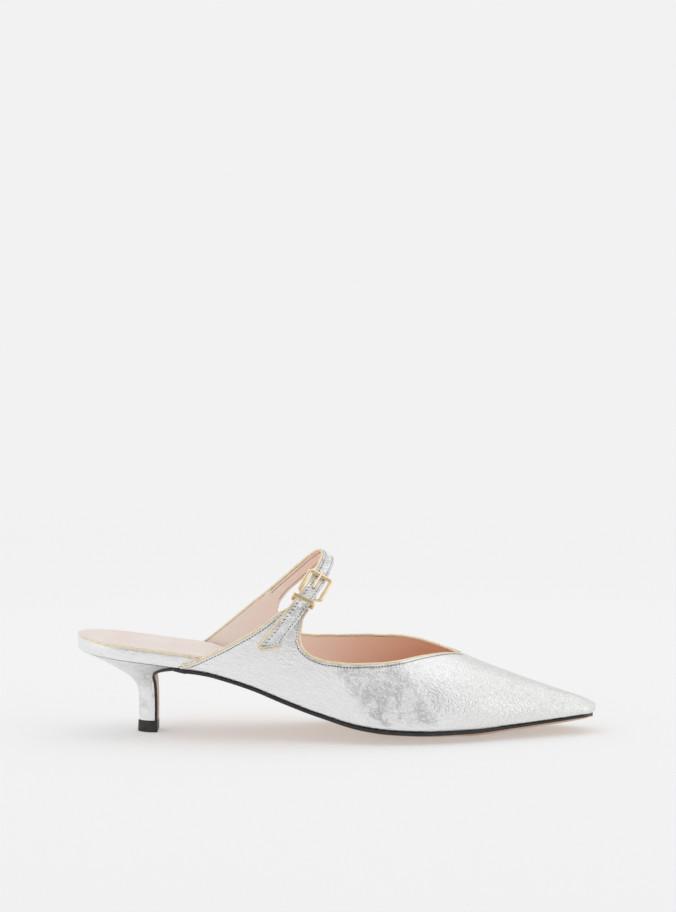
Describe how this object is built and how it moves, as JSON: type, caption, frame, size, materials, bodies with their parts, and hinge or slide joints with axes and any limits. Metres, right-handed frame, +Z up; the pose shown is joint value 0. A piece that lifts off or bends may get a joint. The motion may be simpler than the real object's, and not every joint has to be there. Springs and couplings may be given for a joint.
{
  "type": "mule pump",
  "caption": "Backless pointed pump on a low curved heel, with a buckled strap over the instep, for the right foot.",
  "frame": {"origin": "centre of the heel tip's flat bottom face, on the floor", "axes": "+X from the heel to the toe, +Y to the wearer's left, which is the medial side of this right shoe, +Z up"},
  "size_m": [0.2682, 0.0803, 0.0947],
  "materials": {
    "upper_leather": "crinkled metallic silver leather",
    "lining_leather": "smooth pale pink lining leather",
    "sole_leather": "tan leather with a dark burnished edge",
    "heel_tip": "satin near-black",
    "buckle_metal": "polished pale gold plating",
    "piping_leather": "soft gold foil leather"
  },
  "bodies": {
    "root": {"outsole": "sole_leather", "heel": "upper_leather", "heel_tip": "heel_tip", "insole_board": "upper_leather", "sock": "lining_leather", "upper": "upper_leather", "strap": "upper_leather", "buckle_frame": "buckle_metal", "buckle_prong": "buckle_metal", "keeper": "buckle_metal", "throat_piping": "piping_leather", "lateral_piping": "piping_leather", "medial_piping": "piping_leather", "strap_piping": "piping_leather"}
  },
  "joints": []
}
